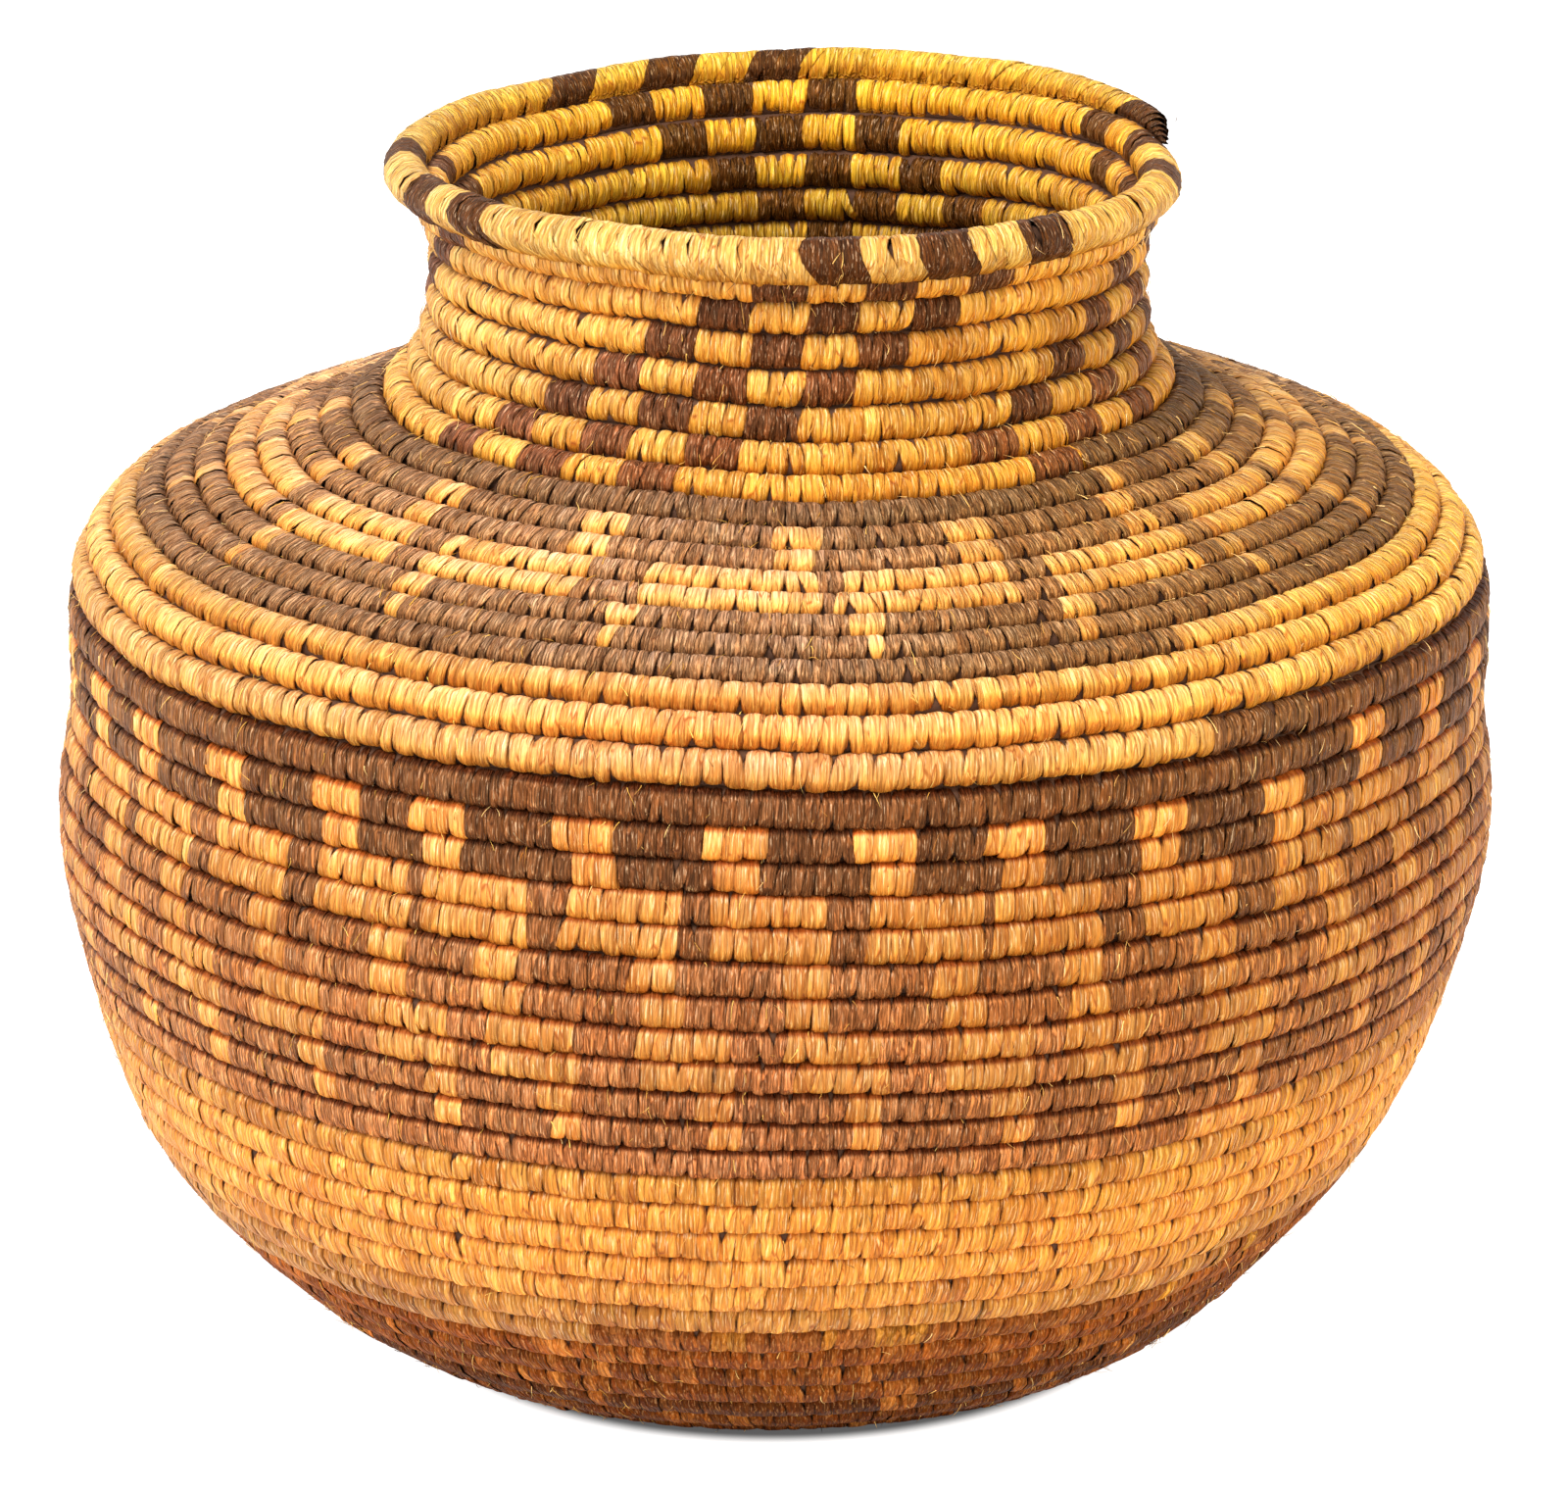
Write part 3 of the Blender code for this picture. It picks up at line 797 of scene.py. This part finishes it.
def isDarkAt(band, fromTop, turns, first):
    azimuth = coil["stepLine"] - 360 * (turns - first)
    dark = np.zeros(turns.shape, bool)
    if band == "belly_course":
        dark = bellyDark(fromTop, azimuth)
    elif band == "shoulder_course":
        dark = shoulderDark(fromTop, azimuth)
    elif band in ("neck_course", "rim_course"):
        dark = neckDark(turns)
    elif band in ("lower_course", "foot_course"):
        dark = footDark(turns)
    if band in darkBelow and fromTop == bands[band][0] - 1:
        dark = np.where(360 * (turns - first) < lateStart, darkBelow[band], dark)
    return dark


def courseStitches(band, style, fromTop, first, start, end):
    # the stitches of one course between two turns: runs of one colour filled with whole stitches
    turns = np.linspace(start, end, int(patternSteps * (end - start)) + 1)
    dark = isDarkAt(band, fromTop, turns, first)
    radius = coilAt(np.array([(start + end) / 2]))[0][0]
    edges = runEdges(dark, turns)
    middles = (edges[1:] + edges[:-1]) / 2
    darkRuns = np.interp(middles, turns, dark.astype(float)) > 0.5
    width = np.where(darkRuns, style["dark"], style["tan"])
    places = stitchEdges(edges, width / 1000 / (fullTurn * radius), stitchChance["edge"])
    centre = (places[1:] + places[:-1]) / 2
    overlap = style.get("overlap", stitchChance["overlap"])
    half = (places[1:] - places[:-1]) / 2 * fullTurn * radius * overlap
    isDark = np.interp(centre, turns, dark.astype(float)) > 0.5
    return centre, half, isDark


def addStitches(nodeName, label, band, style, fromTop, first, start, end):
    centre, half, isDark = courseStitches(band, style, fromTop, first, start, end)
    azimuth = coil["stepLine"] - 360 * (centre - first)
    tanColour, darkColour = palette["rim_course" if label == "rim_wraps" else band]
    tanTone, darkTone = 1.0, 1.0
    if band in courseTones and label != "rim_wraps":
        tanTone, darkTone = (tones[fromTop] for tones in courseTones[band])
    looksDark = isDark
    if band in ("foot_course", "lower_course"):
        most, round, along = footEdge["wornWaves"]
        worn = footEdge["worn"] * (1 + most * np.sin(np.radians(azimuth * round) + first * along))
        looksDark = isDark & (chance.random(len(centre)) > worn)
    tones = np.where(looksDark, darkTone, tanTone)
    tints = stitchTints(band, tanColour, darkColour, looksDark, azimuth, tones)
    rings = evenRings if band in ("neck_course", "rim_course") else outerRings
    tints = tints[:, None] * insideShadeTints(band, azimuth, rings)
    thickness = coilAt(np.array([first + 0.5]))[3][0]
    points, along = wrapStitches(centre, half, rings, style)
    darkSlot = "umber_splint" if band in ("foot_course", "lower_course") else "dark_splint"
    addStrips(
        nodeName, label, darkSlot, isDark, points, along, rings, tints, thickness, style["creases"])
    return len(centre)


# the bundle's half sizes outward and upward, as shares of the coil's thickness, and its rings.
# Under the rim's wraps it is slimmer, from a little before they begin
bundle = {
    "sides": 10, "out": 0.42, "up": 0.53, "underRim": 0.36, "early": 0.02,
    "stepsPerCourse": 96, "baseSteps": 500,
}


def addFoundation(nodeName, first, last, steps):
    # the bundle under the stitches: an oval tube along the coil with closed ends
    sides = bundle["sides"]
    turn = np.linspace(first, last, steps + 1)[:, None]
    angle = np.linspace(0, fullTurn, sides, endpoint=False)[None, :]
    thickness = coilAt(turn)[3]
    share = tipShare(turn)
    underRim = turn > sideTurns - 2 + rim["turns"] - bundle["early"]
    out, up = (np.where(underRim, bundle["underRim"], bundle[way]) for way in ("out", "up"))
    points = onBasket(
        turn + 0 * angle, out * share * thickness * np.cos(angle),
        (up * share * np.sin(angle) - (1 - share) * 0.5) * thickness)
    ends = points[[0, -1]].mean(axis=1)
    index = np.arange(points.shape[0] * sides).reshape(-1, sides)
    quads = np.stack(cornersOf(index), axis=-1).reshape(-1, 4)
    triangles = np.concatenate((quads[:, (0, 1, 2)], quads[:, (0, 2, 3)]))
    low = np.stack((np.full(sides, index.size), np.roll(index[0], -1), index[0]), axis=-1)
    high = np.stack((np.full(sides, index.size + 1), index[-1], np.roll(index[-1], -1)), axis=-1)
    piece = makeMesh(
        nodeName + "_bundle", np.concatenate((points.reshape(-1, 3), ends)),
        np.concatenate((triangles, low, high)), materials["foundation"])
    addToBasket(piece, "foundation", nodeName)


looseFibres = {
    "perTurn": 150, "reach": (15.0, 60.0), "drift": 0.0013, "lift": (0.0002, 0.0012),
    "thickness": (0.00008, 0.00015), "paleShare": 0.8, "pale": (250, 200, 120), "dark": (96, 58, 34),
    "stations": 5, "sides": 3, "start": (-1.35, 1.2), "thinning": 0.75, "proud": 1.02, "bulge": 0.8,
}


def addLooseFibres(nodeName, slot, band, first, end):
    # fine ends of splint that stand off the coil: each starts on a stitch at a chance angle, follows
    # the coil's section, and drifts sideways and lifts off with the square of its length.
    # Each is a tapering three-sided tube with closed ends
    style = stitchStyles[band]
    count = int(looseFibres["perTurn"] * (end - first))
    stations, sides = looseFibres["stations"], looseFibres["sides"]

    def between(low, high):
        return chance.uniform(low, high, (count, 1, 1))

    turn = between(first, end)
    s = np.linspace(0, 1, stations)[None, :, None]
    corner = np.linspace(0, fullTurn, sides, endpoint=False)[None, None, :]
    turned = np.sign(between(-1, 1)) * between(*np.radians(looseFibres["reach"]))
    angle = between(*looseFibres["start"]) + turned * s
    radius, _, _, thickness = coilAt(turn)
    lift = between(*looseFibres["lift"]) * s ** 2
    drift = (between(-1, 1) * s + between(-1, 1) * s ** 2) * looseFibres["drift"]
    thick = between(*looseFibres["thickness"]) * (1 - looseFibres["thinning"] * s)
    out = style["out"] * looseFibres["proud"] * thickness + lift + thick * np.cos(corner)
    out = out * power(np.cos(angle), looseFibres["bulge"])
    up = (style["up"] * thickness + lift) * power(np.sin(angle), looseFibres["bulge"])
    along = drift + thick * np.sin(corner)
    points = onBasket(turn - along / (fullTurn * radius), out, up + 0 * along)
    index = np.arange(count * stations * sides).reshape(count, stations, sides)
    a, b, c, d = cornersOf(index)
    outward = np.stack((a, b, c, a, c, d), axis=-1).reshape(-1, 3)
    faces = np.concatenate((outward, index[:, 0, ::-1], index[:, -1]))
    pale = chance.random(count) < looseFibres["paleShare"]
    tints = stitchTints(
        band, looseFibres["pale"], looseFibres["dark"], ~pale, turn[:, 0, 0] * 360, np.ones(count))
    colour = np.empty((count, stations, sides, 4))
    colour[..., :3] = tints[:, None, None, :]
    colour[..., 3] = 0
    flat = np.zeros((count * stations * sides, 2))
    grain = flat + chance.uniform(0, grainPlaces, (count, 1)).repeat(stations * sides, axis=0)
    piece = makeMesh(
        f"{nodeName}_loose_fibres", points.reshape(-1, 3), faces, materials[slot],
        uvs={"splintGrain": grain, "splintPlace": flat}, tint=colour.reshape(-1, 4))
    addToBasket(piece, slot, nodeName)


def addCrossings(nodeName, first):
    style = {**stitchStyles["rim_course"], **crossingStyle}
    turns = np.concatenate([
        (coil["stepLine"] - chance.uniform(low, high, count)) / 360 + first
        for low, high, count in rim["crossings"]])
    turns = turns[turns > first]
    half = chance.uniform(*rim["crossingHalfWidth"], len(turns))
    isDark = neckDark(turns)
    points, along = wrapStitches(turns, half, evenRings, style)
    tints = stitchTints(
        "rim_course", *palette["rim_course"], isDark, coil["stepLine"] - turns * 360, np.ones(len(turns)))
    addStrips(
        nodeName, "crossings", "dark_splint", isDark, points, along, evenRings, tints,
        coil["usualThickness"], style["creases"])


def addCourses():
    first = 0
    for band, (courses, _, _) in bands.items():
        made = 0
        for number in range(1, courses + 1):
            nodeName = band if courses == 1 else f"{band}_{number}"
            fromTop = courses - number
            start, end = first, first + (rim["turns"] if band == "rim_course" else 1)
            lastOfNeck = first == sideTurns - 2
            usualEnd = end - 1 + rim["turns"] if lastOfNeck else end
            made += addStitches(
                nodeName, "stitches", band, stitchStyles[band], fromTop, first, start, usualEnd)
            if lastOfNeck:
                made += addStitches(
                    nodeName, "rim_wraps", band, stitchStyles["rim_course"], fromTop, first, usualEnd, end)
            addFoundation(nodeName, start, end, bundle["stepsPerCourse"])
            slot = "umber_splint" if band == "foot_course" else "tan_splint"
            addLooseFibres(nodeName, slot, band, start, end)
            first += 1
        print(band, courses, "courses,", made, "stitches")
    addCrossings("rim_course", first - 1)


addCourses()


baseTone = 0.8                     # the base's brightness against the foot's


def addBase():
    # the same stitches round the flat base's turns. Along a flat spiral the square of the radius grows
    # evenly with the length, so evenly long stitches are even steps of that square
    thickness = coil["usualThickness"] * coil["baseShare"]
    inner = coil["baseRadius"] - coil["baseTurns"] * thickness
    radii = np.sqrt(np.linspace(inner ** 2, coil["baseRadius"] ** 2, coil["baseStitches"] + 1))
    edges = (radii - coil["baseRadius"]) / thickness
    centre = (edges[1:] + edges[:-1]) / 2
    radius = coilAt(centre)[0]
    half = (edges[1:] - edges[:-1]) / 2 * fullTurn * radius * stitchChance["overlap"]
    dark = np.ones(len(centre), bool)
    azimuth = coil["stepLine"] - centre * 360
    tints = stitchTints("foot_course", *palette["foot_course"], dark, azimuth, baseTone * dark)
    points, along = wrapStitches(centre, half, evenRings, stitchStyles["foot_course"])
    splintPiece(
        "base_coil_stitches", "umber_splint", ["base_coil"], points, along, evenRings, tints,
        coil["usualThickness"], stitchStyles["foot_course"]["creases"])
    addFoundation("base_coil", -coil["baseTurns"], 0, bundle["baseSteps"])
    return len(centre)


print("base,", addBase(), "stitches")


startKnot = {
    "rings": 14, "spokes": 144,
    "under": 0.1,                  # its edge lies this far inside the first turn's middle, in thicknesses
    "early": 0.03,                 # turns by which its wide side passes the coil's beginning
    "dome": 0.0028, "ridges": 24, "ridge": 0.00022, "swirl": 0.00035, "colour": (120, 70, 38),
}


def addStartKnot():
    # a domed button that fills the first turn's inner side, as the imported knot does, with ridges of
    # stitches out from its middle and a swirl. It is a grid of r, the share of the way out, and a, the
    # angle, closed by its underside: height = dome x square root of (1 - r^4), with the ridges on it
    rings, spokes = startKnot["rings"], startKnot["spokes"]
    r = np.linspace(0, 1, rings)[:, None]
    a = np.linspace(0, fullTurn, spokes, endpoint=False)[None, :]
    past = ((np.radians(coil["stepLine"]) - a) / fullTurn - startKnot["early"]) % 1
    turn = -coil["baseTurns"] + past + startKnot["early"]
    edge, _, _, thickness = coilAt(turn)
    radius = (edge - startKnot["under"] * thickness) * r
    ridge = startKnot["ridge"] * np.sin(startKnot["ridges"] * a + 4 * r) * r
    swirl = startKnot["swirl"] * np.sin(2 * fullTurn * r + a) * np.sin(np.pi * r)
    dome = startKnot["dome"] * np.sqrt(np.clip(1 - r ** 4, 0, 1)) + (ridge + swirl) * (1 - r ** 6)
    shift = -coil["lean"] * coil["leanFreeHeight"] + handMade["footShift"][0] / 1000
    east, north = radius * np.sin(a) + shift, -radius * np.cos(a)
    top, under = (
        np.stack((east, north, coil["baseHeight"] + side * dome), axis=-1) for side in (1, -1))
    points = np.concatenate((top[:-1].reshape(-1, 3), top[-1], under[:-1].reshape(-1, 3)))
    upper = np.arange(rings * spokes).reshape(rings, spokes)
    lower = np.concatenate((upper[:-1] + rings * spokes, upper[-1:]))
    corners = cornersOf(upper)
    facesUp = np.stack([corners[k] for k in (0, 3, 2, 1)], axis=-1).reshape(-1, 4)
    facesDown = np.stack(cornersOf(lower), axis=-1).reshape(-1, 4)
    faces = np.concatenate((facesUp, facesDown))
    tint = np.ones((len(points), 4)) * (*linearColour(*startKnot["colour"]), 1)
    grain = points[:, :2] * 1000
    place = np.zeros((len(points), 2))
    piece = makeMesh(
        "start_knot_wrap", points, faces, materials["umber_splint"],
        uvs={"splintGrain": grain, "splintPlace": place}, tint=tint)
    addToBasket(piece, "umber_splint", "start_knot")


addStartKnot()

# floor, light and camera

studio = {
    "floorSize": 6.0,
    "greys": ((0.79, 0.79, 0.79), (0.83, 0.83, 0.83)),
    # a painted contact shadow: its middle, and from and to which distance it fades out
    "paintedShadowMiddle": (0.0, -0.0152, 0.0),    # the dark ring where the basket touches the floor
    "paintedShadowFrom": 0.0712, "paintedShadowTo": 0.0770,
    # the floor's glow inside the painted contact shadow and outside it, and its grey where seen directly
    "glow": (0.10, 0.93), "seenGrey": 0.62,
    "skyLight": 0.45,
}


def seenDirectly(tree):
    # 1 for rays from the camera and in mirrorings, 0 for others
    rays = node(tree, "LightPath").outputs
    both = {0: rays["Is Camera Ray"], 1: rays["Is Glossy Ray"]}
    return node(tree, "Math", both, operation="MAXIMUM").outputs[0]


def addFloor():
    # plain white floor that keeps the basket's shadow: seen directly it also glows, so that it reads
    # as white, but hardly at all under the basket and in a narrow band round its foot, where its grey
    # is dimmed too: a painted contact shadow
    made, tree, shader = newMaterial("white_floor")
    seen = seenDirectly(tree)
    # the painted contact shadow: glow and seen grey fall off towards the basket's foot
    where = node(tree, "TexCoord").outputs["Object"]
    away = node(tree, "VectorMath", {0: where, 1: studio["paintedShadowMiddle"]}, operation="DISTANCE")
    reach = {"Value": away.outputs["Value"], "From Min": studio["paintedShadowFrom"], "From Max": studio["paintedShadowTo"]}
    reach["To Min"], reach["To Max"] = studio["glow"]
    glow = node(tree, "MapRange", reach, interpolation_type="SMOOTHSTEP").outputs[0]
    dimmed = {0: (studio["seenGrey"],) * 3, "Scale": glow}
    under = node(tree, "VectorMath", dimmed, operation="SCALE").outputs[0]
    fill(tree, shader, {
        "Base Color": mixColours(tree, seen, noiseRamp(tree, 40.0, *studio["greys"]), under),
        "Roughness": 0.9,
        "Specular IOR Level": 0.0,
        "Emission Color": (1, 1, 1, 1),
        "Emission Strength": node(
            tree, "Math", {0: seen, 1: glow}, operation="MULTIPLY").outputs[0],
    })
    size = studio["floorSize"]
    points = np.array(((-size, -size, 0), (size, -size, 0), (size, size, 0), (-size, size, 0)))
    floor = makeMesh("studio_floor", points, [(0, 1, 2, 3)], made)


def addWorld():
    # white when seen directly, plain soft light to everything else
    world = bpy.data.worlds.new("studio")
    bpy.context.scene.world = world
    world.use_nodes = True
    tree = world.node_tree
    ends = {"Value": seenDirectly(tree), "To Min": studio["skyLight"], "To Max": 1.0}
    strength = node(tree, "MapRange", ends).outputs[0]
    fill(tree, tree.nodes["Background"], {"Color": (1, 1, 1, 1), "Strength": strength})


lampAim = (0, 0, 0.12)
# where each lamp stands, its size, watts and colour
lamps = {
    "key_lamp": ((-0.75, -1.15, 2.35), 1.1, 86.0, (1, 1, 1)),
    "fill_lamp": ((1.7, -1.5, 0.9), 1.4, 14.0, (1, 0.95, 0.86)),
    "low_front_lamp": ((-0.3, -2.2, 0.4), 1.2, 11.0, (1, 1, 1)),
    "left_lamp": ((-2.0, -0.4, 0.9), 1.2, 24.0, (1, 1, 1)),
    "right_lamp": ((2.0, -0.4, 0.9), 1.2, 16.0, (1, 0.92, 0.72)),
}


def placeObject(name, data, where, turned):
    made = bpy.data.objects.new(name, data)
    made.location = where
    made.rotation_mode = "QUATERNION"
    made.rotation_quaternion = turned
    bpy.context.scene.collection.objects.link(made)
    return made


def addLamp(name, where, size, watts, colour):
    data = bpy.data.lights.new(name, "AREA")
    data.shape = "DISK"
    data.size = size
    data.energy = watts
    data.color = colour
    aim = Vector(lampAim) - Vector(where)
    placeObject(name, data, where, aim.to_track_quat("-Z", "Y"))


camera = {
    "aim": (0.00054, 0.0, 0.1298),
    "elevation": 17.23,
    "distance": 1.6,
    "lens": 178.3,
    "shift": (0.00493, -0.0374),
    "roll": -0.062,
    "clip": (0.1, 50.0),
}


def addCamera():
    data = bpy.data.cameras.new("camera")
    data.lens = camera["lens"]
    data.shift_x, data.shift_y = camera["shift"]
    data.clip_start, data.clip_end = camera["clip"]
    tilt = np.radians(camera["elevation"])
    back = Vector((0, -np.cos(tilt), np.sin(tilt)))
    where = Vector(camera["aim"]) + back * camera["distance"]
    roll = Matrix.Rotation(np.radians(camera["roll"]), 4, "Z").to_quaternion()
    turned = (-back).to_track_quat("-Z", "Y") @ roll
    bpy.context.scene.camera = placeObject("camera", data, where, turned)


addFloor()
addWorld()
for name, lamp in lamps.items():
    addLamp(name, *lamp)
addCamera()
bpy.context.scene.view_settings.view_transform = "Standard"
print("floor, light and camera ready")
